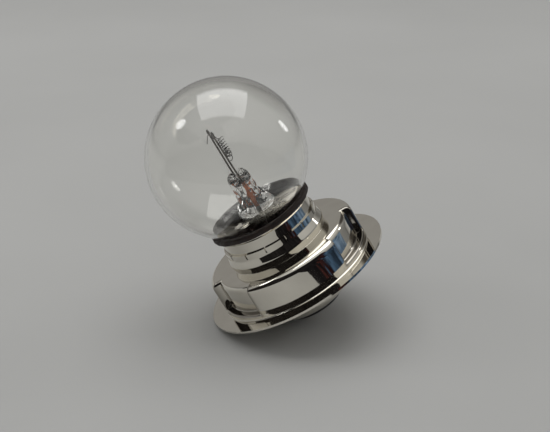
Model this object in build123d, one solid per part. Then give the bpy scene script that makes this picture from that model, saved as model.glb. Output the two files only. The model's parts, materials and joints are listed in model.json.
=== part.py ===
from build123d import *
import os
from math import asin, atan2, cos, degrees, radians, sin, sqrt

# A small clear globe lamp with a pressed locating collar. Each piece is modelled about the lamp's
# own axis, with +Z towards the globe and Z = 0 on the upper face of the flange. At the end the
# lamp is laid down as it comes to rest, on the rim of its flange and the edge of its base.

# Driving dimensions, in millimetres and degrees

# Pressed collar
collar_sheet = 0.35
hat_diameter = 26.0
hat_height = 5.7
hat_corner_radius = 0.9
hat_foot_radius = 0.8
flange_width = 2.65
window_count = 3
window_first_angle = 99.5
window_width = 10.0
window_depth = 1.25
window_slope = 0.7
window_ledge = 0.9
window_round = 0.4
throat_length = 3.4
throat_clearance = 0.03
bead_rise = 1.2
bead_bulge = 0.4
bead_shoulder = 1.1
bead_round = 0.6
bead_foot_spread = 0.1
finger_count = 14
finger_first_angle = 8.3
finger_slit_width = 0.22
finger_slit_depth = 0.8

# Cap shell
shell_sheet = 0.3
shell_diameter = 15.7
shell_rise = 2.2
shell_lip = 0.3
shoulder_depth = 5.45
shoulder_radius = 2.2
shoulder_flat = 0.55

# Base
base_step = 0.85
insulator_band = 0.45
eyelet_sheet = 0.3
eyelet_rim_width = 1.1
eyelet_barrel_diameter = 3.0
eyelet_barrel_depth = 1.8
contact_dome_overlap = 0.5
contact_dome_height = 0.6

# Glass
globe_diameter = 25.8
glass_wall = 0.6
neck_rise = 0.24
neck_round = 1.2
neck_length = 9.3
stem_wall = 0.7
stem_diameter = 6.6
stem_length = 10.6
flare_round = 2.6
flare_rise = 2.4
pinch_taper = 3.6
pinch_blade = 2.6
pinch_thickness = 3.0
pinch_round = 0.4
meniscus_diameter = 1.7
meniscus_height = 1.0
meniscus_lip = 0.15
meniscus_sink = 0.1
exhaust_diameter = 2.4
exhaust_wall = 0.5
exhaust_drop = 2.8

# Cement
cement_thickness = 0.75
cement_length = 6.8
cement_overhang = 0.9
cement_rim_thickness = 0.9
cement_rim_round = 0.3
bond_gap = 0.02

# Wires
mount_turn = 20.0
lead_spread = 3.7
inner_lead_diameter = 0.3
inner_lead_rise = 5.0
clamp_length = 0.8
clamp_width = 0.55
seal_wire_diameter = 0.4
seal_wire_cover = 1.0
outer_lead_diameter = 0.36
outer_lead_round = 0.7
side_lead_drop = 1.0
solder_drop_diameter = 1.5

# Filament
coil_diameter = 1.0
coil_wire = 0.17
coil_turns = 8
coil_steps = 10
coil_pitch = 0.48
coil_offset = 0.75
coil_gap = 1.3
coil_drop = 0.5
spare_reach = 0.2
spare_length = 1.2

# Values that follow from the driving dimensions

hat_radius = hat_diameter / 2
flange_radius = hat_radius + flange_width
throat_height = hat_height + throat_length
bead_height = hat_height + bead_rise
shell_radius = shell_diameter / 2
shell_bore = shell_radius - shell_sheet
shell_height = throat_height + shell_rise
throat_radius = shell_radius + throat_clearance + collar_sheet / 2
base_radius = shell_radius - shoulder_radius - shoulder_flat
base_depth = shoulder_depth + base_step
insulator_top = shoulder_radius - shoulder_depth + insulator_band
contact_face = -base_depth - eyelet_sheet
eyelet_bore = eyelet_barrel_diameter / 2 - eyelet_sheet
globe_radius = globe_diameter / 2
neck_radius = shell_bore - cement_thickness
neck_foot = shell_height - neck_length
globe_height = shell_height + neck_rise + sqrt(globe_radius**2 - neck_radius**2)
pinch_start = neck_foot + stem_length
pinch_full = pinch_start + pinch_taper
pinch_top = pinch_full + pinch_blade
exhaust_tip = neck_foot - exhaust_drop
lead_place = lead_spread / 2
inner_lead_height = globe_height + inner_lead_rise
seal_wire_foot = pinch_start + seal_wire_cover
seal_wire_top = pinch_top - seal_wire_cover
side_lead_height = neck_foot - side_lead_drop
lean = degrees(atan2(base_depth - collar_sheet, flange_radius - base_radius))


def turned(outline):
    """Turn a flat outline, drawn as radius and height, about the lamp's axis."""
    return revolve(Plane.XZ * outline, Axis.Z)


def turned_sheet(points, radii, thickness):
    """Turn a bent sheet about the axis, from its middle line and its bend radii."""
    route = FilletPolyline(points, radius=radii) if radii else Polyline(points)
    return turned(trace(route, thickness))


def round_wire(points, radii, diameter):
    """A round wire along straight runs joined by bends."""
    route = FilletPolyline(points, radius=radii)
    return sweep(Plane(origin=route @ 0, z_dir=route % 0) * Circle(diameter / 2), route)


def upright_wire(place, foot, top, diameter):
    """A straight wire along the lamp's axis, at a place across the pinch."""
    return Pos(0, place, (foot + top) / 2) * Cylinder(diameter / 2, top - foot)


def window_block(grow):
    """The hollow that one window presses into the hat, its faces moved outwards by grow."""
    half_mouth = window_width / 2
    half_floor = half_mouth - window_slope
    floor_radius = hat_radius - window_depth
    mouth_x = sqrt(hat_radius**2 - half_mouth**2)
    floor_x = sqrt(floor_radius**2 - half_floor**2)
    side = Vector(mouth_x - floor_x, window_slope)
    aside = Vector(-side.Y, side.X).normalized() * grow
    outer = Vector(mouth_x, half_mouth) + side + aside
    inner = Vector(floor_x, half_floor) - side + aside
    section = Polyline(
        (outer.X, outer.Y),
        (inner.X, inner.Y),
        (inner.X, -inner.Y),
        (outer.X, -outer.Y),
        close=True,
    )
    foot = window_ledge - grow
    face = make_face(section) - Circle(floor_radius - grow)
    block = Pos(0, 0, foot) * extrude(face, hat_height + collar_sheet - foot)
    floor = block.faces().filter_by(GeomType.CYLINDER)[0]
    return fillet(floor.edges().sort_by(Axis.Z)[0], window_round + grow)


def flange_collar():
    half = collar_sheet / 2
    middle_line = [
        (throat_radius, throat_height),
        (throat_radius, bead_height + bead_shoulder),
        (throat_radius + bead_bulge, bead_height),
        (throat_radius + bead_foot_spread, hat_height - half),
        (hat_radius - half, hat_height - half),
        (hat_radius - half, -half),
        (flange_radius, -half),
    ]
    bends = [0, bead_round, 0, hat_corner_radius - half, hat_foot_radius - half]
    collar = turned_sheet(middle_line, bends, collar_sheet)
    hat = Pos(0, 0, hat_height / 2) * Cylinder(hat_radius, hat_height)
    hat = fillet(hat.edges().sort_by(Axis.Z)[-1], hat_corner_radius)
    hollow = window_block(0)
    lining = (window_block(collar_sheet) & hat) - hollow
    for step in range(window_count):
        turn = Rot(0, 0, window_first_angle + step * 360 / window_count)
        collar = collar - turn * hollow + turn * lining
    beside_axis = (Align.MIN, Align.CENTER, Align.MAX)
    slit = Box(shell_diameter, finger_slit_width, finger_slit_depth, align=beside_axis)
    for step in range(finger_count):
        turn = Rot(0, 0, finger_first_angle + step * 360 / finger_count)
        collar -= turn * Pos(0, 0, throat_height) * slit
    return collar


def cap_shell():
    half = shell_sheet / 2
    wall = shell_radius - half
    middle_line = [
        (wall + shell_lip, shell_height),
        (wall, shell_height - shell_lip),
        (wall, half - shoulder_depth),
        (base_radius, half - shoulder_depth),
    ]
    return turned_sheet(middle_line, [0, shoulder_radius - half], shell_sheet)


def base_insulator():
    bore = eyelet_barrel_diameter / 2
    outline = FilletPolyline(
        (bore, insulator_top),
        (shell_bore, insulator_top),
        (shell_bore, shell_sheet - shoulder_depth),
        (base_radius, shell_sheet - shoulder_depth),
        (base_radius, -base_depth),
        (bore, -base_depth),
        radius=[0, 0, shoulder_radius - shell_sheet, 0, 0, 0],
        close=True,
    )
    return turned(make_face(outline))


def contact_eyelet():
    half = eyelet_sheet / 2
    outside = eyelet_barrel_diameter / 2
    middle_line = [
        (outside - half, eyelet_barrel_depth - base_depth),
        (outside - half, -base_depth - half),
        (outside + eyelet_rim_width, -base_depth - half),
    ]
    return turned_sheet(middle_line, [], eyelet_sheet)


def contact_solder(centre_lead):
    half = eyelet_bore + contact_dome_overlap
    ball = (half**2 + contact_dome_height**2) / (2 * contact_dome_height)
    centre = contact_face - contact_dome_height + ball
    dome = CenterArc((0, centre), ball, -90, degrees(asin(half / ball)))
    sides = Polyline(
        dome @ 1,
        (eyelet_bore, contact_face),
        (eyelet_bore, -base_depth),
        (0, -base_depth),
        dome @ 0,
    )
    return turned(make_face(dome + sides)) - centre_lead


def glass_outline(inset):
    """Half of the globe's and neck's outline, inset from the outer surface of the glass."""
    globe = globe_radius - inset
    neck = neck_radius - inset
    blend = neck_round + inset
    blend_x = neck + blend
    blend_z = globe_height - sqrt((globe + blend) ** 2 - blend_x**2)
    angle = degrees(atan2(blend_z - globe_height, blend_x))
    joint = (globe * cos(radians(angle)), globe_height + globe * sin(radians(angle)))
    middle = radians(180 + angle / 2)
    return Curve() + [
        Line((neck, neck_foot), (neck, blend_z)),
        ThreePointArc(
            (neck, blend_z),
            (blend_x + blend * cos(middle), blend_z + blend * sin(middle)),
            joint,
        ),
        CenterArc((0, globe_height), globe, angle, 90 - angle),
    ]


def glass_section(inset):
    """Half of the globe and neck as a filled flat section, inset from the glass's outer surface."""
    crown = (0, globe_height + globe_radius - inset)
    ends = Polyline(crown, (0, neck_foot), (neck_radius - inset, neck_foot))
    return make_face(glass_outline(inset) + ends)


def globe_envelope():
    return turned(glass_section(0) - glass_section(glass_wall))


def glass_stem(wires):
    seal = neck_radius - glass_wall
    tube = (stem_diameter - stem_wall) / 2
    flare_foot = neck_foot + stem_wall / 2
    flare_line = [(seal, flare_foot), (tube, flare_foot + flare_rise), (tube, pinch_start)]
    stem = turned_sheet(flare_line, [flare_round], stem_wall) & turned(glass_section(glass_wall))
    round_end = Pos(0, 0, pinch_start) * Circle(stem_diameter / 2)
    flat_end = Pos(0, 0, pinch_full) * Ellipse(pinch_thickness / 2, stem_diameter / 2)
    stem += loft([round_end, flat_end])
    blade = extrude(flat_end, pinch_blade)
    stem += fillet(blade.edges().sort_by(Axis.Z)[-1], pinch_round)
    cone = Cone(meniscus_diameter / 2, inner_lead_diameter / 2 + meniscus_lip, meniscus_height)
    for side in (-1, 1):
        stem += Pos(0, side * lead_place, pinch_top - meniscus_sink + meniscus_height / 2) * cone
    pipe = (exhaust_diameter - exhaust_wall) / 2
    pipe_end = exhaust_tip + exhaust_wall / 2
    stem += turned_sheet([(pipe, pinch_start), (pipe, pipe_end), (0, pipe_end)], [], exhaust_wall)
    for wire in wires:
        stem -= wire
    return stem


def basing_cement():
    bore = shell_bore - bond_gap
    rim = shell_radius + cement_overhang
    slant = sqrt(0.5)
    lip_top = shell_height + slant * shell_sheet / 2
    lip_edge = shell_radius + shell_lip - (1 + slant) * shell_sheet / 2 - bond_gap / slant
    foot = shell_height - cement_length
    seat = lip_top + bond_gap
    outline = FilletPolyline(
        (0, foot),
        (bore, foot),
        (bore, lip_top - (lip_edge - bore)),
        (lip_edge + bond_gap, seat),
        (rim, seat),
        (rim, seat + cement_rim_thickness),
        (0, seat + cement_rim_thickness),
        radius=[0, 0, 0, 0, 0, cement_rim_round, 0],
        close=True,
    )
    return turned(make_face(outline) - glass_section(-bond_gap))


def inner_lead(side, tail):
    wire = upright_wire(side * lead_place, seal_wire_top, inner_lead_height, inner_lead_diameter)
    clamp = Box(clamp_width, clamp_width, clamp_length)
    return wire + Pos(0, side * lead_place, inner_lead_height - clamp_length / 2) * clamp - tail


def centre_outer_lead():
    turn_in = (exhaust_tip + insulator_top) / 2
    points = [
        (0, lead_place, seal_wire_foot),
        (0, lead_place, turn_in),
        (0, 0, insulator_top - outer_lead_diameter),
        (0, 0, contact_face - contact_dome_height / 2),
    ]
    return round_wire(points, [outer_lead_round, outer_lead_round], outer_lead_diameter)


def side_outer_lead():
    points = [
        (0, -lead_place, seal_wire_foot),
        (0, -lead_place, side_lead_height),
        (0, outer_lead_diameter - shell_bore, side_lead_height),
    ]
    return round_wire(points, [outer_lead_round], outer_lead_diameter)


def side_solder(side_lead):
    drop = Pos(0, -shell_bore, side_lead_height) * Sphere(solder_drop_diameter / 2)
    inside = Pos(0, 0, side_lead_height) * Cylinder(shell_bore, solder_drop_diameter)
    return drop & inside - side_lead


def coil_leg(side):
    """Points along one coiled leg of the filament, from its top to its foot."""
    top = inner_lead_height - clamp_length - coil_drop
    across = lead_place - coil_gap / 2
    length = coil_turns * coil_pitch
    fall = sqrt(length**2 - across**2)
    radius = (coil_diameter - coil_wire) / 2
    leg_foot = Vector(0, -side * across, -fall)
    leg = Plane(origin=(coil_offset, side * lead_place, top), x_dir=(1, 0, 0), z_dir=leg_foot)
    points = []
    for step in range(coil_turns * coil_steps + 1):
        turn = radians(360 * step / coil_steps)
        along = coil_pitch * step / coil_steps
        points.append(leg.from_local_coords((-radius * cos(turn), radius * sin(turn), along)))
    return points


def square_wire(points):
    """The filament's fine wire along a run of points."""
    route = Polyline(points)
    profile = Plane(origin=route @ 0, z_dir=route % 0) * RegularPolygon(coil_wire / 2, 4)
    return sweep(profile, route, transition=Transition.RIGHT)


def filament():
    """The filament, and the straight run by which each lead holds it, with its spare end, by side."""
    near = coil_leg(-1)
    far = coil_leg(1)
    lowest = (near[-1] + far[-1]) / 2 - Vector(0, 0, coil_gap / 2)
    coil = square_wire(near + [lowest] + far[::-1])
    tails = {}
    for side, leg in ((-1, near), (1, far)):
        clamp_middle = Vector(0, side * lead_place, inner_lead_height - clamp_length / 2)
        spare_start = clamp_middle - Vector(clamp_width / 2 + spare_reach, 0, 0)
        spare_end = spare_start - Vector(spare_reach, 0, spare_length)
        tails[side] = square_wire([leg[0], clamp_middle, spare_start, spare_end])
        coil += tails[side]
        coil += Pos(leg[0]) * Box(coil_wire, coil_wire, coil_wire)
    return coil, tails


def build():
    """All pieces by name, standing on the lamp's own axis."""
    coil, tails = filament()
    wires = {"centre_outer_lead": centre_outer_lead(), "side_outer_lead": side_outer_lead()}
    for name, side in (("near", -1), ("far", 1)):
        place = side * lead_place
        wires[f"{name}_inner_lead"] = inner_lead(side, tails[side])
        wires[f"{name}_seal_wire"] = upright_wire(
            place, seal_wire_foot, seal_wire_top, seal_wire_diameter
        )
    mount = {
        "filament_coil": coil,
        **wires,
        "glass_stem": glass_stem(wires.values()),
        "side_solder": side_solder(wires["side_outer_lead"]),
    }
    return {
        **{name: Rot(0, 0, mount_turn) * piece for name, piece in mount.items()},
        "globe_envelope": globe_envelope(),
        "cap_shell": cap_shell(),
        "basing_cement": basing_cement(),
        "flange_collar": flange_collar(),
        "base_insulator": base_insulator(),
        "contact_eyelet": contact_eyelet(),
        "contact_solder": contact_solder(Rot(0, 0, mount_turn) * wires["centre_outer_lead"]),
    }


def lay_down(pieces):
    """Lean the lamp on its flange and base, with the middle of its footprint at the origin."""
    leaning = {name: Rot(0, -lean, 0) * piece for name, piece in pieces.items()}
    boxes = [piece.bounding_box() for piece in leaning.values()]
    low = [min(values) for values in zip(*(tuple(box.min) for box in boxes))]
    high = [max(values) for values in zip(*(tuple(box.max) for box in boxes))]
    set_down = Pos(-(low[0] + high[0]) / 2, -(low[1] + high[1]) / 2, -low[2])
    return {name: set_down * piece for name, piece in leaning.items()}


os.makedirs("parts", exist_ok=True)
for name, piece in lay_down(build()).items():
    export_step(piece, f"parts/{name}.step")
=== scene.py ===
import json
from math import asin, atan2, cos, degrees, exp, pi, radians, sin, sqrt, tan

import bmesh
import bpy
from mathutils import Matrix, Quaternion, Vector, noise


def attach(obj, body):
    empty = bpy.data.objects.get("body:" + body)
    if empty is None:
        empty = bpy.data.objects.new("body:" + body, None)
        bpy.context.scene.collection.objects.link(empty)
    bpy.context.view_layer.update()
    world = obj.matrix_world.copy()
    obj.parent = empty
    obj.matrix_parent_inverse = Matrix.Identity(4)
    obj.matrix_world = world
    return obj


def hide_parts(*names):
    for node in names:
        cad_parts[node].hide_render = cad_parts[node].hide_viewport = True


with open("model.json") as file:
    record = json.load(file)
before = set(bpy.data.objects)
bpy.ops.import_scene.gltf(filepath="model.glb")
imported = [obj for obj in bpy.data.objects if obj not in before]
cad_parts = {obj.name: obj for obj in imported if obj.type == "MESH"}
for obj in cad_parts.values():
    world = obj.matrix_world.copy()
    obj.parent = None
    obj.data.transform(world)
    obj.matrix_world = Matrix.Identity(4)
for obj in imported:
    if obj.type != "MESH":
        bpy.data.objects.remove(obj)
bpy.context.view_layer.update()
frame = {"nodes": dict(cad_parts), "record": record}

# Sizes of the lamp in millimetres and degrees, about its own axis, with height 0 on the flange's
# upper face. Values under -1 belong to the near lead, and values under 1 to the far one.

collar_sheet = 0.35
hat_radius = 13.0
hat_height = 5.7
hat_corner_radius = 0.9
hat_foot_radius = 0.55
flange_radius = 15.65
window_angles = (99.5, 219.5, 339.5)
window_width = 10.0
window_depth = 1.25
window_slope = 0.7
window_ledge = 0.9
window_round = 0.4
window_edge_round = 0.2
window_fold = 0.3
throat_height = 9.1
throat_clearance = 0.03
bead_height = 6.9
bead_bulge = 0.4
bead_shoulder = 1.1
bead_round = 0.6
bead_foot_spread = 0.1
bead_foot_round = 0.2
bead_foot_run = 1.0
finger_count = 14
finger_first_angle = 8.3
finger_slit_width = 0.22
finger_slit_depth = 0.8

# Painted shade on the plate: dark lines just outside a window's mouth, and a dark band above its
# ledge
side_outset = 1.0
side_spread = 1.1
side_shading_paint = 0.6
ledge_spread = 1.1
ledge_shading_paint = 0.5

shell_sheet = 0.3
shell_radius = 7.85
shell_height = 11.3
shell_lip = 0.3
shell_lip_round = 0.4
shoulder_depth = 5.45
shoulder_radius = 2.2
base_radius = 5.1
base_depth = 6.3
insulator_top = -2.8
eyelet_sheet = 0.3
eyelet_radius = 2.6
eyelet_barrel_radius = 1.5
eyelet_barrel_depth = 1.8
contact_dome_radius = 1.7
contact_dome_height = 0.6
contact_lump = 0.05
contact_lump_scale = 1.5
edge_round = 0.12

globe_radius = 12.9
globe_height = 22.5
glass_wall = 0.6
neck_radius = 6.8
neck_round = 1.2
neck_foot = 2.0
stem_wall = 0.7
stem_radius = 3.3
flare_round = 2.6
flare_rise = 2.4
pinch_start = 12.6
pinch_full = 16.2
pinch_top = 18.8
pinch_thickness = 3.6
pinch_round = 0.6
lobe_place = 1.1
lobe_reach = 1.0
lobe_depth = 1.6
lobe_height = 1.5
bubble_height = 18.95
bubble_size = (0.5, 1.0, 0.6)
exhaust_radius = 1.2
exhaust_wall = 0.5
exhaust_tip = -0.8

# Wrinkles of the pinch: their depth, how close they lie across and along, and a finer share
wrinkle = 0.4
wrinkle_scale = 1.1
wrinkle_rise = 0.7
wrinkle_start = 5
fine_wrinkle = 0.5
fine_wrinkle_scale = 2.2
blade_calm = 0.8
cap_wrinkle = 0.2

cement_foot = 4.5
cement_rim_radius = 8.75
cement_rim_lift = 0.15
cement_rim_thickness = 0.9
cement_rim_round = 0.3
cement_undercut = 0.4
cement_lump = 0.1
cement_lump_scale = 0.9
cement_grain = 0.05
cement_grain_scale = 2.3
bond_gap = 0.02

mount_turn = 20
lead_place = 1.85
lead_shift = -0.13
lead_bend_height = 19.8
lead_bend_round = 1.5
lead_tip = {-1: -0.22, 1: -0.1}
lead_height = {-1: 27.8, 1: 27.59}
inner_lead_diameter = 0.3
clamp_length = 0.8
clamp_width = 0.5
clamp_lump = 0.2
clamp_overrun = 1.1
seal_wire_top = 17.8

coil_diameter = 1.0
coil_wire = 0.11
coil_turns = 8
coil_pitch = 0.48
leg_curl = 8
coil_offset = 0.75
coil_gap = 1.3
coil_drop = {-1: 0.5, 1: 1.46}
spare_drop = {-1: 0.4, 1: 0.9}
spare_reach = {-1: 0.45, 1: 1.1}
spare_length = {-1: 0.5, 1: 1.1}
spare_round = 0.15

# Where the lamp stands in the frame

mm = 0.001
seat = next(mount for mount in frame["record"]["mounts"] if mount["name"] == "flange_seat")
lamp_axis = Vector(seat["axis"]).normalized()
lamp_side = Vector((lamp_axis.z, 0, -lamp_axis.x))
lamp_origin = Vector((seat["pos_m"][0], 0, seat["pos_m"][2]))
lamp_turn = Matrix((lamp_side, (0, 1, 0), lamp_axis)).transposed().to_4x4()
to_row = Matrix.Translation(lamp_origin) @ lamp_turn @ Matrix.Scale(mm, 4)


# Flat outlines, as points of radius and height


def bent_line(corners, radii, steps=8):
    """A line through the corners, with each inner corner rounded to its radius."""
    points = [Vector(corners[0])]
    for before, corner, after, radius in zip(corners, corners[1:], corners[2:], radii):
        corner = Vector(corner)
        if radius == 0:
            points.append(corner)
            continue
        back = (Vector(before) - corner).normalized()
        ahead = (Vector(after) - corner).normalized()
        half = back.angle(ahead) / 2
        centre = corner + (back + ahead).normalized() * radius / sin(half)
        start = corner + back * radius / tan(half) - centre
        end = corner + ahead * radius / tan(half) - centre
        points += [centre + start.slerp(end, step / steps) * radius for step in range(steps + 1)]
    points.append(Vector(corners[-1]))
    return points


def between(start, end, parts):
    """The points that divide a straight run into equal parts, without its ends."""
    return [start.lerp(end, part / parts) for part in range(1, parts)]


def divided(points, spacing):
    """The same line, with its long straight runs divided."""
    result = [points[0]]
    for start, end in zip(points, points[1:]):
        count = max(1, round((end - start).length / spacing))
        result += [start.lerp(end, step / count) for step in range(1, count + 1)]
    return result


def moved_aside(points, distance):
    """The same line, moved to its left by a distance."""
    result = []
    for index, point in enumerate(points):
        ahead = points[min(index + 1, len(points) - 1)] - points[max(index - 1, 0)]
        ahead.normalize()
        result.append(point + Vector((-ahead.y, ahead.x)) * distance)
    return result


def sheet_outline(middle_line, thickness):
    """The closed outline of a bent sheet, with a point at each edge."""
    half = thickness / 2
    left = moved_aside(middle_line, half)
    right = moved_aside(middle_line, -half)
    start_tip = middle_line[0] + (middle_line[0] - middle_line[1]).normalized() * half
    end_tip = middle_line[-1] + (middle_line[-1] - middle_line[-2]).normalized() * half
    return [start_tip] + left + [end_tip] + right[::-1]


def arc(centre, radius, start, end, steps):
    """Points on an arc, between two angles in radians."""
    angles = [start + (end - start) * step / steps for step in range(steps + 1)]
    return [Vector((centre[0] + radius * cos(a), centre[1] + radius * sin(a))) for a in angles]


# Meshes


def finished(name, mesh_data, material, node, smooth_angle=35, turn=0, hollows=()):
    """Make an object of a mesh given in the lamp's millimetres, and set it in the frame.

    The faces of hollows look inwards, as the walls of a bubble do.
    """
    bmesh.ops.recalc_face_normals(mesh_data, faces=mesh_data.faces)
    bmesh.ops.reverse_faces(mesh_data, faces=hollows)
    mesh = bpy.data.meshes.new(name)
    mesh_data.to_mesh(mesh)
    mesh_data.free()
    mesh.transform(to_row @ Matrix.Rotation(radians(turn), 4, "Z"))
    mesh.shade_smooth()
    mesh.set_sharp_from_angle(angle=radians(smooth_angle))
    mesh.materials.append(material)
    piece = bpy.data.objects.new(name, mesh)
    bpy.context.scene.collection.objects.link(piece)
    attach(piece, "root")
    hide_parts(node)


def add_rings(mesh, rings, closed=False):
    """Skin a run of rings, where a ring of one vertex is a pole; the result is the new faces."""
    faces = []
    pairs = list(zip(rings, rings[1:]))
    if closed:
        pairs.append((rings[-1], rings[0]))
    for low, high in pairs:
        count = max(len(low), len(high))
        for index in range(count):
            after = (index + 1) % count
            corners = [low[index % len(low)], low[after % len(low)]]
            corners += [high[after % len(high)], high[index % len(high)]]
            corners = list(dict.fromkeys(corners))
            faces.append(mesh.faces.new(corners))
    return faces


def add_lathe(mesh, outline, columns, closed=False, wobble=None):
    """Turn an outline of radius and height about the axis; wobble moves a point outwards."""
    on_axis = 1e-6
    rings = []
    for radius, height in outline:
        if radius < on_axis:
            rings.append([mesh.verts.new((0, 0, height))])
            continue
        ring = []
        for column in range(columns):
            angle = 2 * pi * column / columns
            point = Vector((radius * cos(angle), radius * sin(angle), height))
            if wobble:
                point += Vector((cos(angle), sin(angle), 0)) * wobble(point)
            ring.append(mesh.verts.new(point))
        rings.append(ring)
    add_rings(mesh, rings, closed)


def lathe(outline, columns, closed=False, wobble=None):
    """A mesh turned from one outline."""
    mesh = bmesh.new()
    add_lathe(mesh, outline, columns, closed, wobble)
    return mesh


def tube(mesh, points, radius, sides, taper=None):
    """A round wire along points, closed at both ends; taper scales it along its length."""
    rings = []
    normal = None
    for index, point in enumerate(points):
        ahead = points[min(index + 1, len(points) - 1)] - points[max(index - 1, 0)]
        ahead.normalize()
        if normal is None:
            normal = ahead.orthogonal()
        normal = (normal - ahead * normal.dot(ahead)).normalized()
        other = ahead.cross(normal)
        size = radius * (taper(index / (len(points) - 1)) if taper else 1)
        ring = []
        for side in range(sides):
            angle = 2 * pi * side / sides
            ring.append(mesh.verts.new(point + (normal * cos(angle) + other * sin(angle)) * size))
        rings.append(ring)
    add_rings(mesh, rings)
    mesh.faces.new(rings[0])
    mesh.faces.new(rings[-1])


# Materials

# A noise texture keeps mostly within these values
noise_low, noise_high = 0.3, 0.7
tone_low, tone_high = 0.35, 0.65


def new_material(name):
    """A new material, with its nodes and links."""
    material = bpy.data.materials.new(name)
    material.use_nodes = True
    return material, material.node_tree.nodes, material.node_tree.links


def add_noise(nodes, links, scale, detail, vector=None):
    """A noise texture, in the frame's own coordinates unless a vector is given."""
    if vector is None:
        vector = nodes.new("ShaderNodeTexCoord").outputs["Object"]
    texture = nodes.new("ShaderNodeTexNoise")
    texture.inputs["Scale"].default_value = scale
    texture.inputs["Detail"].default_value = detail
    links.new(vector, texture.inputs["Vector"])
    return texture


def add_ramp(nodes, links, source, stops):
    """A colour ramp through stops of place and colour, driven by a value."""
    ramp = nodes.new("ShaderNodeValToRGB")
    elements = ramp.color_ramp.elements
    while len(elements) < len(stops):
        elements.new(1)
    for element, (place, colour) in zip(elements, stops):
        element.position = place
        element.color = (*colour, 1)
    links.new(source, ramp.inputs["Fac"])
    return ramp.outputs["Color"]


def add_range(nodes, links, source, low, high):
    """A number from low to high, driven by a texture's value."""
    spread = nodes.new("ShaderNodeMapRange")
    spread.inputs["From Min"].default_value = noise_low
    spread.inputs["From Max"].default_value = noise_high
    spread.inputs["To Min"].default_value = low
    spread.inputs["To Max"].default_value = high
    links.new(source.outputs["Fac"], spread.inputs["Value"])
    return spread.outputs["Result"]


def add_bump(nodes, links, source, strength, distance):
    """A bump from a texture's value, with its depth in metres."""
    bump = nodes.new("ShaderNodeBump")
    bump.inputs["Strength"].default_value = strength
    bump.inputs["Distance"].default_value = distance
    links.new(source.outputs["Fac"], bump.inputs["Height"])
    links.new(bump.outputs["Normal"], nodes["Principled BSDF"].inputs["Normal"])


def add_mix(nodes, links, amount, under, colour):
    """Lay a colour over another one, by an amount from 0 to 1."""
    mix = nodes.new("ShaderNodeMix")
    mix.data_type = "RGBA"
    mix.inputs["B"].default_value = (*colour, 1)
    links.new(amount, mix.inputs["Factor"])
    links.new(under, mix.inputs["A"])
    return mix.outputs["Result"]


def mottled(name, low, high, roughness, grain, detail, bump_strength, bump_depth, metallic):
    """A surface whose tone, gloss and relief vary a little from place to place."""
    material, nodes, links = new_material(name)
    shader = nodes["Principled BSDF"]
    shader.inputs["Metallic"].default_value = metallic
    texture = add_noise(nodes, links, grain, detail)
    tone = add_ramp(nodes, links, texture.outputs["Fac"], [(tone_low, low), (tone_high, high)])
    links.new(tone, shader.inputs["Base Color"])
    links.new(add_range(nodes, links, texture, *roughness), shader.inputs["Roughness"])
    add_bump(nodes, links, texture, bump_strength, bump_depth)
    return material


def metal(name, low, high, roughness, grain, bump_depth):
    """A bare metal."""
    detail, bump_strength, metallic = 4, 0.3, 1
    return mottled(name, low, high, roughness, grain, detail, bump_strength, bump_depth, metallic)


def dull(name, low, high, roughness, grain, bump_depth):
    """A surface that is no metal, with a stronger relief."""
    detail, bump_strength, metallic = 6, 0.6, 0
    return mottled(name, low, high, roughness, grain, detail, bump_strength, bump_depth, metallic)


def clear_glass(name, tint, ripple_scale, ripple_strength, ripple_depth):
    """Clear glass with a slow ripple in its surface."""
    material, nodes, links = new_material(name)
    shader = nodes["Principled BSDF"]
    shader.inputs["Base Color"].default_value = (*tint, 1)
    shader.inputs["Transmission Weight"].default_value = 1
    shader.inputs["IOR"].default_value = 1.5
    shader.inputs["Roughness"].default_value = 0
    texture = add_noise(nodes, links, ripple_scale, 1)
    add_bump(nodes, links, texture, ripple_strength, ripple_depth)
    return material


def add_shading_paint(material, colour):
    """Paint shade on a surface: darken it towards a colour, by its mesh's painted shade amount."""
    nodes, links = material.node_tree.nodes, material.node_tree.links
    base = nodes["Principled BSDF"].inputs["Base Color"]
    amount = nodes.new("ShaderNodeAttribute")
    amount.attribute_name = "painted_shade"
    bright = base.links[0].from_socket
    links.new(add_mix(nodes, links, amount.outputs["Fac"], bright, colour), base)


plate = metal(
    "bright_plate", (0.75, 0.715, 0.64), (0.81, 0.775, 0.695),
    roughness=(0.02, 0.07), grain=220, bump_depth=0.00003,
)
# Painted shade on the plate: dark brown along the window sides and above the ledges
add_shading_paint(plate, (0.12, 0.1, 0.085))
globe_glass = clear_glass(
    "globe_glass", (0.99, 0.988, 0.97),
    ripple_scale=90, ripple_strength=0.2, ripple_depth=0.00005,
)
stem_glass = clear_glass(
    "stem_glass", (0.985, 0.985, 0.98),
    ripple_scale=700, ripple_strength=0.35, ripple_depth=0.0001,
)
cement = dull(
    "dark_cement", (0.009, 0.004, 0.003), (0.03, 0.015, 0.011),
    roughness=(0.45, 0.7), grain=1500, bump_depth=0.0002,
)
black = dull(
    "black_insulator", (0.006, 0.006, 0.007), (0.016, 0.016, 0.018),
    roughness=(0.12, 0.3), grain=600, bump_depth=0.00006,
)
brass = metal(
    "contact_brass", (0.6, 0.42, 0.17), (0.74, 0.55, 0.27),
    roughness=(0.15, 0.35), grain=900, bump_depth=0.00005,
)
solder = metal(
    "solder", (0.42, 0.42, 0.41), (0.6, 0.6, 0.58),
    roughness=(0.2, 0.45), grain=900, bump_depth=0.0001,
)
wire = metal(
    "lead_wire", (0.1, 0.095, 0.09), (0.3, 0.28, 0.26),
    roughness=(0.25, 0.5), grain=1500, bump_depth=0.00004,
)
copper = metal(
    "seal_wire", (0.45, 0.12, 0.05), (0.62, 0.22, 0.1),
    roughness=(0.2, 0.4), grain=1200, bump_depth=0.00003,
)
tungsten = metal(
    "filament_wire", (0.05, 0.05, 0.05), (0.14, 0.135, 0.13),
    roughness=(0.35, 0.6), grain=2500, bump_depth=0.00002,
)


# Pressed collar

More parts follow.
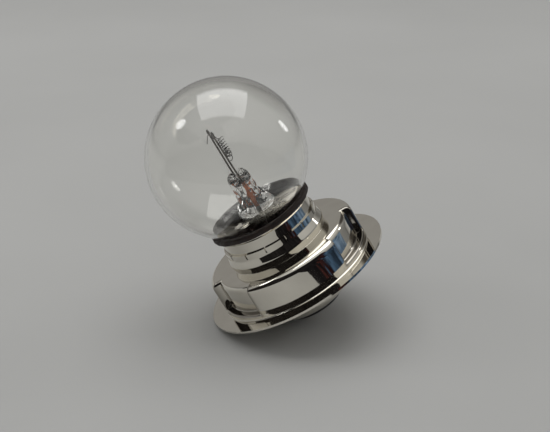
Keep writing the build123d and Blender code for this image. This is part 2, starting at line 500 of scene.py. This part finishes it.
half_sheet = collar_sheet / 2
half_mouth = window_width / 2
half_floor = half_mouth - window_slope
floor_radius = hat_radius - window_depth
mouth_x = sqrt(hat_radius**2 - half_mouth**2)
floor_x = sqrt(floor_radius**2 - half_floor**2)
side_slope = window_slope / (mouth_x - floor_x)
mouth_angle = degrees(asin(half_mouth / hat_radius))
side_angle = mouth_angle + side_outset
half_slit = degrees(finger_slit_width / 2 / shell_radius)
finger_pitch = 360 / finger_count

# Points of the collar nearer than this are one point
together = 0.0005


def angle_from(angle, middle):
    """How far an angle is from another, in degrees."""
    return abs((angle - middle + 180) % 360 - 180)


def soft_least(a, b, width):
    """The lesser of two values, rounded over a width where they cross."""
    return (a + b - sqrt((a - b) ** 2 + width**2)) / 2


def soft_most(a, b, width):
    """The greater of two values, rounded over a width where they cross."""
    return (a + b + sqrt((a - b) ** 2 + width**2)) / 2


def wall_radius(angle):
    """How far out the middle of the hat's sheet is, at an angle in degrees."""
    outside = hat_radius - half_sheet
    turn = radians(min(angle_from(angle, middle) for middle in window_angles))
    reach = half_mouth - side_slope * mouth_x + half_sheet * sqrt(1 + side_slope**2)
    closing = sin(turn) - side_slope * cos(turn)
    if closing >= 0:
        return outside
    inside = soft_most(floor_radius - half_sheet, reach / closing, window_fold)
    return soft_least(outside, inside, window_fold)


def collar_line(wall):
    """Rows of the collar's middle line, where the hat's wall is that far out."""
    fillet_share = 0.35
    edge_share = 0.25
    row_step = 0.03
    flange_step = 0.4
    throat = shell_radius + throat_clearance + half_sheet
    outside = hat_radius - half_sheet
    hat_top = hat_height - half_sheet
    ledge = window_ledge - half_sheet
    corner = hat_corner_radius - half_sheet
    depth = outside - wall
    fillet = min(window_round, fillet_share * depth)
    edge = min(window_edge_round, edge_share * depth)
    neck = bent_line(
        [
            (throat, throat_height),
            (throat, bead_height + bead_shoulder),
            (throat + bead_bulge, bead_height),
            (throat + bead_foot_spread, hat_top),
            (throat + bead_foot_run, hat_top),
        ],
        [bead_round, bead_round, bead_foot_round],
        steps=6,
    )
    slit_foot = Vector((throat, throat_height - finger_slit_depth))
    fold = arc((wall - corner, hat_top - corner), corner, pi / 2, 0, steps=8)
    dip = arc((wall + fillet, ledge + row_step + fillet), fillet, pi, 1.5 * pi, steps=6)
    lip = arc((outside - edge, ledge - row_step - edge), edge, pi / 2, 0, steps=5)
    foot = bent_line(
        [lip[-1], (outside, -half_sheet), (flange_radius, -half_sheet)],
        [hat_foot_radius - half_sheet],
    )
    rows = [neck[0], slit_foot] + neck[1:]
    rows += between(neck[-1], fold[0], 5) + fold
    rows += between(fold[-1], dip[0], 6) + dip
    rows += between(dip[-1], lip[0], 3) + lip
    return rows + foot[1:-1] + divided(foot[-2:], flange_step)[1:]


def column_angles():
    """Angles of the collar's columns: even, with more at the window sides and at the slits."""
    even_step = 1.25
    side_step = 0.12
    side_margin = 1.2
    slit_margin = 0.1
    least_step = 0.02
    side_start = degrees(asin(half_floor / floor_radius)) - side_margin
    side_end = mouth_angle + side_margin
    angles = {even_step * step for step in range(round(360 / even_step))}
    for middle in window_angles:
        for step in range(round((side_end - side_start) / side_step) + 1):
            offset = side_start + side_step * step
            angles.update(((middle + offset) % 360, (middle - offset) % 360))
    for finger in range(finger_count):
        middle = finger_first_angle + finger_pitch * finger
        angles = {a for a in angles if angle_from(a, middle) > half_slit + slit_margin}
        angles.update(((middle - half_slit) % 360, (middle + half_slit) % 360))
    spaced = []
    for angle in sorted(angles):
        if not spaced or angle - spaced[-1] > least_step:
            spaced.append(angle)
    return spaced


def in_slit(angle):
    """Whether an angle lies in a slit between two fingers."""
    offset = (angle - finger_first_angle) % finger_pitch
    return min(offset, finger_pitch - offset) < half_slit / 2


def shading_paint_at(angle, radius, height):
    """How much painted shade darkens the plate: along the sides of the windows, and above their
    ledges.
    """
    if radius < floor_radius - collar_sheet or height < window_ledge - collar_sheet:
        return 0
    offset = min(angle_from(angle, middle) for middle in window_angles)
    side = side_shading_paint * exp(-(((offset - side_angle) / side_spread) ** 2))
    above = max(0, height - window_ledge)
    inside = ledge_shading_paint * exp(-((above / ledge_spread) ** 2)) if offset < mouth_angle else 0
    return max(side, inside)


def row_direction(column, row):
    """The way a column runs at a row, past points that lie together."""
    first = last = row
    while first > 0 and (column[row] - column[first]).length < together:
        first -= 1
    while last < len(column) - 1 and (column[last] - column[row]).length < together:
        last += 1
    return column[last] - column[first]


def collar_piece():
    """The pressed collar: an outer and an inner skin, joined along the sheet's edges."""
    angles = column_angles()
    columns = []
    for angle in angles:
        turn = radians(angle)
        line = collar_line(wall_radius(angle))
        columns.append([Vector((r * cos(turn), r * sin(turn), z)) for r, z in line])
    count = len(columns)
    rows = len(columns[0])
    mesh = bmesh.new()
    # Each outer vertex keeps how much painted shade darkens it there
    painted_shade = mesh.verts.layers.float.new("painted_shade")
    outer = []
    inner = []
    for index, column in enumerate(columns):
        after = columns[(index + 1) % count]
        before = columns[index - 1]
        outer_column = []
        inner_column = []
        for row, point in enumerate(column):
            along = row_direction(column, row)
            offset = (after[row] - before[row]).cross(along).normalized() * half_sheet
            outer_column.append(mesh.verts.new(point - offset))
            inner_column.append(mesh.verts.new(point + offset))
            outer_column[-1][painted_shade] = shading_paint_at(angles[index], point.xy.length, point.z)
        outer.append(outer_column)
        inner.append(inner_column)
    for index in range(count):
        after = (index + 1) % count
        middle = angles[index] + (angles[after] - angles[index]) % 360 / 2
        first_row = 1 if in_slit(middle) else 0
        for row in range(first_row, rows - 1):
            below = row + 1
            here, there = outer[index], outer[after]
            mesh.faces.new((here[row], there[row], there[below], here[below]))
            here, there = inner[index], inner[after]
            mesh.faces.new((here[below], there[below], there[row], here[row]))
    opposite = {}
    for outer_column, inner_column in zip(outer, inner):
        opposite.update(zip(outer_column, inner_column))
    open_edges = [edge for edge in mesh.edges if edge.is_boundary and edge.verts[0] in opposite]
    for edge in open_edges:
        a, b = edge.verts
        mesh.faces.new((a, b, opposite[b], opposite[a]))
    bmesh.ops.remove_doubles(mesh, verts=mesh.verts, dist=together)
    finished("pressed_collar", mesh, plate, "flange_collar", smooth_angle=40)


# Shell, cement and base


def sleeve_piece():
    """The plated sleeve, from its lip under the globe down to the base."""
    half = shell_sheet / 2
    wall = shell_radius - half
    corners = [
        (wall + shell_lip, shell_height),
        (wall, shell_height - shell_lip),
        (wall, half - shoulder_depth),
        (base_radius + half, half - shoulder_depth),
    ]
    middle_line = bent_line(corners, [shell_lip_round, shoulder_radius - half], steps=10)
    outline = sheet_outline(divided(middle_line, spacing=1.0), shell_sheet)
    mesh = lathe(outline, columns=192, closed=True)
    finished("cap_sleeve", mesh, plate, "cap_shell")


def cement_piece():
    """The cement between the neck and the sleeve, with its lumpy rim under the globe."""
    row_step = 0.3
    bore = shell_radius - shell_sheet - bond_gap
    rim_foot = shell_height + cement_rim_lift
    rim_top = rim_foot + cement_rim_thickness
    corners = [
        (neck_radius + bond_gap, cement_foot),
        (bore, cement_foot),
        (bore, rim_foot - cement_undercut),
        (bore + cement_undercut, rim_foot),
        (cement_rim_radius, rim_foot),
        (cement_rim_radius, rim_top),
        (glass_radius_at(rim_top) + bond_gap, rim_top),
    ]
    line = bent_line(corners, [0, 0, 0, cement_rim_round, cement_rim_round])
    outline = divided(line, row_step)
    inside_heights = (rim_top - row_step, rim_top - 2 * row_step, 10, 8, 6)
    outline += [Vector((glass_radius_at(height) + bond_gap, height)) for height in inside_heights]

    def lumps(point):
        if point.z < rim_foot - bond_gap:
            return 0
        coarse = cement_lump * noise.noise(point * cement_lump_scale)
        return coarse + cement_grain * noise.noise(point * cement_grain_scale)

    mesh = lathe(outline, columns=192, closed=True, wobble=lumps)
    finished("cement_ring", mesh, cement, "basing_cement")


def plug_piece():
    """The black insulator that closes the base."""
    bore = shell_radius - shell_sheet
    corners = [
        (eyelet_barrel_radius, insulator_top),
        (bore, insulator_top),
        (bore, shell_sheet - shoulder_depth),
        (base_radius, shell_sheet - shoulder_depth),
        (base_radius, -base_depth),
        (eyelet_barrel_radius, -base_depth),
    ]
    line = bent_line(corners, [0, shoulder_radius - shell_sheet, 0, edge_round])
    mesh = lathe(divided(line, spacing=0.8), columns=128, closed=True)
    finished("base_plug", mesh, black, "base_insulator")


def contact_pieces():
    """The brass eyelet in the insulator, and the drop of solder on it."""
    half = eyelet_sheet / 2
    corners = [
        (eyelet_barrel_radius - half, eyelet_barrel_depth - base_depth),
        (eyelet_barrel_radius - half, -base_depth - half),
        (eyelet_radius - half, -base_depth - half),
    ]
    middle_line = bent_line(corners, [edge_round + half], steps=6)
    mesh = lathe(sheet_outline(middle_line, eyelet_sheet), columns=96, closed=True)
    finished("contact_rim", mesh, brass, "contact_eyelet")
    face = -base_depth - eyelet_sheet
    ball = (contact_dome_radius**2 + contact_dome_height**2) / (2 * contact_dome_height)
    reach = atan2(contact_dome_radius, ball - contact_dome_height)
    centre = (0, face - contact_dome_height + ball)
    dome = arc(centre, ball, -pi / 2, -pi / 2 + reach, steps=10)
    dome[0].x = 0
    inner = eyelet_barrel_radius - eyelet_sheet
    outline = dome + [Vector((inner, face)), Vector((inner, -base_depth)), Vector((0, -base_depth))]

    def lumps(point):
        return contact_lump * noise.noise(point * contact_lump_scale)

    mesh = lathe(outline, columns=64, wobble=lumps)
    finished("contact_drop", mesh, solder, "contact_solder")


# Glass


def glass_line(inset):
    """Half of the globe and neck, from the neck's foot to the crown."""
    globe = globe_radius - inset
    neck = neck_radius - inset
    blend = neck_round + inset
    blend_x = neck + blend
    blend_z = globe_height - sqrt((globe + blend) ** 2 - blend_x**2)
    angle = atan2(blend_z - globe_height, blend_x)
    line = divided([Vector((neck, neck_foot)), Vector((neck, blend_z))], spacing=0.8)
    line += arc((blend_x, blend_z), blend, pi, pi + angle, steps=10)[1:]
    line += arc((0, globe_height), globe, angle, pi / 2, steps=90)[1:]
    line[-1].x = 0
    return line


def glass_radius_at(height):
    """The glass's outer radius at a height below the globe's middle."""
    line = glass_line(0)
    for low, high in zip(line, line[1:]):
        if low.y <= height <= high.y:
            return low.x + (high.x - low.x) * (height - low.y) / (high.y - low.y)
    return neck_radius


def globe_piece():
    """The globe with its neck, open at the neck's foot where the stem closes it."""
    outline = glass_line(0)[::-1] + glass_line(glass_wall)
    mesh = lathe(outline, columns=180)
    finished("clear_globe", mesh, globe_glass, "globe_envelope", smooth_angle=60)


def eased(share):
    """A share from 0 to 1 that starts and ends slowly."""
    return share * share * (3 - 2 * share)


def stem_ring(mesh, width, depth, height, rough=0.0, lift=0.0):
    """An oval ring of the stem, pushed about by its wrinkles and raised into its lobes."""
    columns = 96
    ring = []
    for column in range(columns):
        angle = 2 * pi * column / columns
        point = Vector((width * cos(angle), depth * sin(angle), height))
        along = height * wrinkle_rise + wrinkle_start
        coarse = Vector((point.x * wrinkle_scale, point.y * wrinkle_scale, along))
        push = rough * noise.noise(coarse)
        push += fine_wrinkle * rough * noise.noise(point * fine_wrinkle_scale)
        aside = (abs(point.x) - lobe_place) / lobe_reach
        lobe = sqrt(max(0, 1 - aside**2 - (point.y / lobe_depth) ** 2))
        point += Vector((cos(angle) * push, sin(angle) * push, lift * lobe_height * lobe))
        ring.append(mesh.verts.new(point))
    return ring


def add_stem(mesh):
    """The flared stem, pinched flat at the top and wrinkled where the jaws pressed it."""
    taper_rows = 12
    blade_rows = 8
    cap_rows = 10
    thin = pinch_thickness / 2
    seal = neck_radius - glass_wall
    flare_foot = neck_foot + stem_wall / 2
    tube_radius = stem_radius - stem_wall / 2
    corners = [
        (seal, flare_foot),
        (tube_radius, flare_foot + flare_rise),
        (tube_radius, pinch_start),
    ]
    middle_line = divided(bent_line(corners, [flare_round], steps=10), spacing=0.5)
    inside = moved_aside(middle_line, stem_wall / 2)
    outside = moved_aside(middle_line, -stem_wall / 2)
    rings = [[mesh.verts.new((0, 0, pinch_start - stem_wall / 2))]]
    rings += [stem_ring(mesh, p.x, p.x, p.y) for p in inside[::-1]]
    for row, p in enumerate(outside):
        rings.append(stem_ring(mesh, p.x, p.x, p.y, wrinkle * eased(row / len(outside))))
    for step in range(1, taper_rows + 1):
        share = step / taper_rows
        width = stem_radius + (thin - stem_radius) * eased(share)
        height = pinch_start + (pinch_full - pinch_start) * share
        rings.append(stem_ring(mesh, width, stem_radius, height, wrinkle))
    blade_top = pinch_top - pinch_round
    for step in range(1, blade_rows + 1):
        share = step / blade_rows
        height = pinch_full + (blade_top - pinch_full) * share
        rough = wrinkle * (1 - blade_calm * share)
        rings.append(stem_ring(mesh, thin, stem_radius, height, rough, eased(share) / 2))
    for step in range(1, cap_rows):
        share = step / cap_rows
        shrink = cos(pi / 2 * share)
        height = blade_top + pinch_round * sin(pi / 2 * share)
        rough = cap_wrinkle * wrinkle * shrink
        lift = (1 + share) / 2
        rings.append(stem_ring(mesh, thin * shrink, stem_radius * shrink, height, rough, lift))
    rings.append([mesh.verts.new((0, 0, pinch_top))])
    add_rings(mesh, rings)


def add_exhaust_tube(mesh):
    """The exhaust tube below the pinch, closed at its tip."""
    middle = exhaust_radius - exhaust_wall / 2
    end = exhaust_tip + exhaust_wall / 2
    line = bent_line([(middle, pinch_start), (middle, end), (0, end)], [middle / 2])
    outside = moved_aside(line, exhaust_wall / 2)
    inside = moved_aside(line, -exhaust_wall / 2)
    outside[-1].x = 0
    inside[-1].x = 0
    add_lathe(mesh, outside[::-1] + inside, columns=48)


def add_bubbles(mesh):
    """A bubble in each lobe of the pinch; the result is the new faces."""
    rows = 16
    columns = 32
    wide, deep, tall = bubble_size
    faces = []
    for side in (-1, 1):
        rings = []
        for row in range(rows + 1):
            slope = pi * row / rows
            height = bubble_height + tall * cos(slope)
            ring = []
            for column in range(columns if 0 < row < rows else 1):
                angle = 2 * pi * column / columns
                x = side * lobe_place + wide * sin(slope) * cos(angle)
                y = deep * sin(slope) * sin(angle)
                ring.append(mesh.verts.new((x, y, height)))
            rings.append(ring)
        faces += add_rings(mesh, rings)
    return faces


def stem_piece():
    """The stem with its exhaust tube and the bubbles in its pinch."""
    mesh = bmesh.new()
    add_stem(mesh)
    add_exhaust_tube(mesh)
    finished(
        "pinched_stem", mesh, stem_glass, "glass_stem",
        smooth_angle=60, turn=mount_turn, hollows=add_bubbles(mesh),
    )


# Wires and filament


def lead_piece(name, side, node):
    """A support wire, bent a little above the glass, with a lumpy clamp at its tip."""
    mesh = bmesh.new()
    top = lead_height[side]
    corners = [(0, seal_wire_top), (lead_shift, lead_bend_height), (lead_tip[side], top)]
    line = divided(bent_line(corners, [lead_bend_round]), spacing=0.2)
    clamp_share = 1 - clamp_length / (top - seal_wire_top)
    lump_side, lump_pitch, lump_start = side * 2.7, 4, 0.3

    def taper(share):
        if share < clamp_share:
            return 1
        along = (share - clamp_share) / (1 - clamp_share)
        lump = 1 + clamp_lump * noise.noise(Vector((lump_side, along * lump_pitch, lump_start)))
        bulge = sin(pi * min(1, along * clamp_overrun))
        return lump * (1 + (clamp_width / inner_lead_diameter - 1) * bulge)

    points = [Vector((p.x, side * lead_place, p.y)) for p in line]
    tube(mesh, points, inner_lead_diameter / 2, sides=12, taper=taper)
    finished(name, mesh, wire, node, turn=mount_turn)


def filament_piece():
    """The coil: two legs that meet at the foot, and a spare end at each lead."""
    mesh = bmesh.new()
    per_turn = 20
    across = lead_place - coil_gap / 2
    length = coil_turns * coil_pitch
    fall = sqrt(length**2 - across**2)
    radius = (coil_diameter - coil_wire) / 2
    out = Vector((1, 0, 0))
    halves = []
    for side in (-1, 1):
        tip = lead_tip[side]
        top = lead_height[side] - clamp_length - coil_drop[side]
        spare_height = lead_height[side] - spare_drop[side]
        corners = [
            (tip, spare_height),
            (tip - spare_reach[side] / 3, spare_height),
            (tip - spare_reach[side], spare_height - spare_length[side]),
        ]
        spare = bent_line(corners, [spare_round])
        points = [Vector((p.x, side * lead_place, p.y)) for p in spare[::-1]]
        for step in range(coil_turns * per_turn + 1):
            turn = 2 * pi * step / per_turn
            share = (turn + sin(2 * turn) / 2) / (2 * pi * coil_turns)
            aside = side * (lead_place - across * share**leg_curl)
            centre = Vector((coil_offset + tip, aside, top - fall * share))
            ahead = Vector((0, -leg_curl * side * across * share ** (leg_curl - 1), -fall))
            sideways = ahead.cross(out).normalized()
            points.append(centre - out * radius * cos(turn) + sideways * radius * sin(turn))
        halves.append(points)
    near, far = halves
    lowest = (near[-1] + far[-1]) / 2 - Vector((0, 0, coil_gap / 2))
    tube(mesh, near + [lowest] + far[::-1], coil_wire / 2, sides=8)
    finished(
        "coiled_filament", mesh, tungsten, "filament_coil", turn=mount_turn
    )


collar_piece()
sleeve_piece()
cement_piece()
plug_piece()
contact_pieces()
globe_piece()
stem_piece()
lead_piece("near_support", -1, "near_inner_lead")
lead_piece("far_support", 1, "far_inner_lead")
filament_piece()

# Solids that the scene shows as they are
kept_nodes = {
    "near_seal_wire": copper,
    "far_seal_wire": copper,
    "centre_outer_lead": wire,
    "side_outer_lead": wire,
    "side_solder": solder,
}
for node, material in kept_nodes.items():
    node_mesh = frame["nodes"][node].data
    node_mesh.materials.clear()
    node_mesh.materials.append(material)


# Stage, light and camera

# The floor's colours nearby, and a darker colour far away that is painted shade for the light
# falling off
floor_tones = [(tone_low, (0.445, 0.445, 0.437)), (tone_high, (0.465, 0.465, 0.457))]
far_floor_shade_paint = (0.24, 0.24, 0.235)

# The room's colours by the height looked at, from the horizon to overhead
room_colours = [
    (0.0, (0.17, 0.17, 0.167)),
    (0.35, (0.3, 0.3, 0.294)),
    (0.85, (0.6, 0.6, 0.588)),
]

# Patches of the room: direction, inner and outer angle in degrees, colour
room_patches = [
    ((-0.33, 0.92, 0.2), 20, 55, (0.27, 0.265, 0.255)),
    ((0.42, 0.78, 0.5), 8, 24, (0.06, 0.055, 0.05)),
]

# The dark screen's colours by direction, in degrees from the front towards the right
screen_colours = [
    (-84, (0.02, 0.018, 0.017)),
    (47, (0.012, 0.011, 0.012)),
    (51, (0.05, 0.016, 0.013)),
    (56, (0.012, 0.011, 0.014)),
    (63, (0.07, 0.13, 0.22)),
    (70, (0.015, 0.022, 0.035)),
    (82, (0.1, 0.17, 0.28)),
    (108, (0.16, 0.22, 0.3)),
]


def stage_piece(name, mesh_data, material):
    """Make an object of the stage of a mesh given in metres."""
    mesh = bpy.data.meshes.new(name)
    mesh_data.to_mesh(mesh)
    mesh_data.free()
    mesh.materials.append(material)
    piece = bpy.data.objects.new(name, mesh)
    bpy.context.scene.collection.objects.link(piece)
    return piece


def floor_stage():
    """A plain pale floor, darkened far away by painted shade where the light falls off."""
    near_reach = 0.2
    far_reach = 0.8
    stage_radius = 4
    floor_drop = 0.00002
    material, nodes, links = new_material("pale_floor")
    shader = nodes["Principled BSDF"]
    shader.inputs["Roughness"].default_value = 0.7
    shader.inputs["Specular IOR Level"].default_value = 0.2
    texture = add_noise(nodes, links, scale=14, detail=3)
    near_tone = add_ramp(nodes, links, texture.outputs["Fac"], floor_tones)
    coordinates = nodes.new("ShaderNodeTexCoord")
    reach = nodes.new("ShaderNodeVectorMath")
    reach.operation = "LENGTH"
    links.new(coordinates.outputs["Object"], reach.inputs[0])
    distance = nodes.new("ShaderNodeMapRange")
    distance.inputs["From Min"].default_value = near_reach
    distance.inputs["From Max"].default_value = far_reach
    links.new(reach.outputs["Value"], distance.inputs["Value"])
    # Painted shade: the floor fades to its darker colour from 0.2 m to 0.8 m out
    tone = add_mix(nodes, links, distance.outputs["Result"], near_tone, far_floor_shade_paint)
    links.new(tone, shader.inputs["Base Color"])
    mesh = bmesh.new()
    bmesh.ops.create_circle(mesh, cap_ends=True, segments=96, radius=stage_radius)
    floor = stage_piece("floor", mesh, material)
    floor.location.z = -floor_drop


def screen_mesh():
    """The dark screen: part of an upright ring, lower at the right."""
    radius = 0.105
    foot = 0.0005
    tall = 0.115
    low = 0.038
    first, last, step = -84, 108, 3
    fall_start = 40
    fall_width = 20
    mesh = bmesh.new()
    columns = []
    for azimuth in range(first, last + 1, step):
        turn = radians(azimuth)
        height = tall + (low - tall) * min(1, max(0, (azimuth - fall_start) / fall_width))
        x, y = radius * sin(turn), -radius * cos(turn)
        columns.append((mesh.verts.new((x, y, foot)), mesh.verts.new((x, y, height))))
    for left, right in zip(columns, columns[1:]):
        mesh.faces.new((left[0], right[0], right[1], left[1]))
    return mesh


def screen_material():
    """The dark screen's colours by direction, with uneven edges and strength."""
    warp_amount = 0.1
    front = 0.25 + warp_amount / 2
    material, nodes, links = new_material("dark_screen")
    coordinates = nodes.new("ShaderNodeTexCoord")
    around = nodes.new("ShaderNodeTexGradient")
    around.gradient_type = "RADIAL"
    links.new(coordinates.outputs["Object"], around.inputs["Vector"])
    squash = nodes.new("ShaderNodeMapping")
    squash.inputs["Scale"].default_value = (1, 1, 5)
    links.new(coordinates.outputs["Object"], squash.inputs["Vector"])
    texture = add_noise(nodes, links, scale=80, detail=3, vector=squash.outputs["Vector"])
    warp = nodes.new("ShaderNodeMath")
    warp.operation = "MULTIPLY_ADD"
    warp.inputs[1].default_value = warp_amount
    links.new(texture.outputs["Fac"], warp.inputs[0])
    links.new(around.outputs["Fac"], warp.inputs[2])
    stops = [(front + azimuth / 360, colour) for azimuth, colour in screen_colours]
    glow = nodes.new("ShaderNodeEmission")
    links.new(add_ramp(nodes, links, warp.outputs["Value"], stops), glow.inputs["Color"])
    links.new(add_range(nodes, links, texture, low=0.25, high=1.3), glow.inputs["Strength"])
    links.new(glow.outputs["Emission"], nodes["Material Output"].inputs["Surface"])
    return material


def dark_side():
    """A dark screen on the photographer's side of the floor, seen only as a reflection."""
    screen = stage_piece("dark_screen", screen_mesh(), screen_material())
    screen.visible_camera = False
    screen.visible_transmission = False
    screen.visible_diffuse = False
    screen.visible_shadow = False


def area_light(name, shape, direction, distance, size, power, back=None, roll=0):
    """A soft light in a direction, turned to the origin or with its back to another direction."""
    light = bpy.data.lights.new(name, "AREA")
    light.shape = shape
    light.size, light.size_y = size
    light.energy = power
    holder = bpy.data.objects.new(name, light)
    toward = Vector(direction).normalized()
    holder.location = toward * distance
    turn = Vector(back or toward).to_track_quat("Z", "Y") @ Quaternion((0, 0, 1), radians(roll))
    holder.rotation_euler = turn.to_euler()
    bpy.context.scene.collection.objects.link(holder)


def add_patch(nodes, links, under, direction, inner, outer, colour):
    """Lay a soft round patch of colour over the room, seen in a direction, by its two angles."""
    coordinates = nodes.new("ShaderNodeTexCoord")
    toward = nodes.new("ShaderNodeVectorMath")
    toward.operation = "DOT_PRODUCT"
    toward.inputs[1].default_value = Vector(direction).normalized()
    links.new(coordinates.outputs["Generated"], toward.inputs[0])
    edge = nodes.new("ShaderNodeMapRange")
    edge.interpolation_type = "SMOOTHSTEP"
    edge.inputs["From Min"].default_value = cos(radians(outer))
    edge.inputs["From Max"].default_value = cos(radians(inner))
    links.new(toward.outputs["Value"], edge.inputs["Value"])
    return add_mix(nodes, links, edge.outputs["Result"], under, colour)


def room_light():
    """A soft pale room, a little darker in patches."""
    world = bpy.data.worlds.new("soft_room")
    bpy.context.scene.world = world
    world.use_nodes = True
    nodes, links = world.node_tree.nodes, world.node_tree.links
    coordinates = nodes.new("ShaderNodeTexCoord")
    parts = nodes.new("ShaderNodeSeparateXYZ")
    links.new(coordinates.outputs["Generated"], parts.inputs["Vector"])
    colour = add_ramp(nodes, links, parts.outputs["Z"], room_colours)
    for patch in room_patches:
        colour = add_patch(nodes, links, colour, *patch)
    links.new(colour, nodes["Background"].inputs["Color"])


def set_camera():
    """The photograph's camera: in front, looking down at the lamp."""
    elevation = radians(22.7)
    aside, rise, distance = -3.383, 8.924, 196.5
    right = Vector((1, 0, 0))
    ahead = Vector((0, cos(elevation), -sin(elevation)))
    up = Vector((0, sin(elevation), cos(elevation)))
    data = bpy.data.cameras.new("camera")
    data.sensor_width = 36
    data.lens = 78.5
    data.clip_start = 0.01
    camera = bpy.data.objects.new("camera", data)
    camera.location = lamp_origin + (right * aside + up * rise - ahead * distance) * mm
    camera.rotation_euler = (-ahead).to_track_quat("Z", "Y").to_euler()
    bpy.context.scene.collection.objects.link(camera)
    bpy.context.scene.camera = camera


floor_stage()
dark_side()
room_light()
area_light(
    "overhead", "RECTANGLE", direction=(-0.055, 0.185, 0.56), distance=0.592,
    size=(0.524, 0.572), power=1.54, back=(0, 0, 1), roll=2,
)
area_light(
    "left_lamp", "ELLIPSE", direction=(-0.754, 0.065, 0.653), distance=0.3,
    size=(0.05, 0.062), power=0.036,
)
area_light(
    "right_lamp", "ELLIPSE", direction=(0.805, 0.388, 0.449), distance=0.3,
    size=(0.03, 0.07), power=0.025,
)
set_camera()
bpy.context.scene.view_settings.view_transform = "Standard"
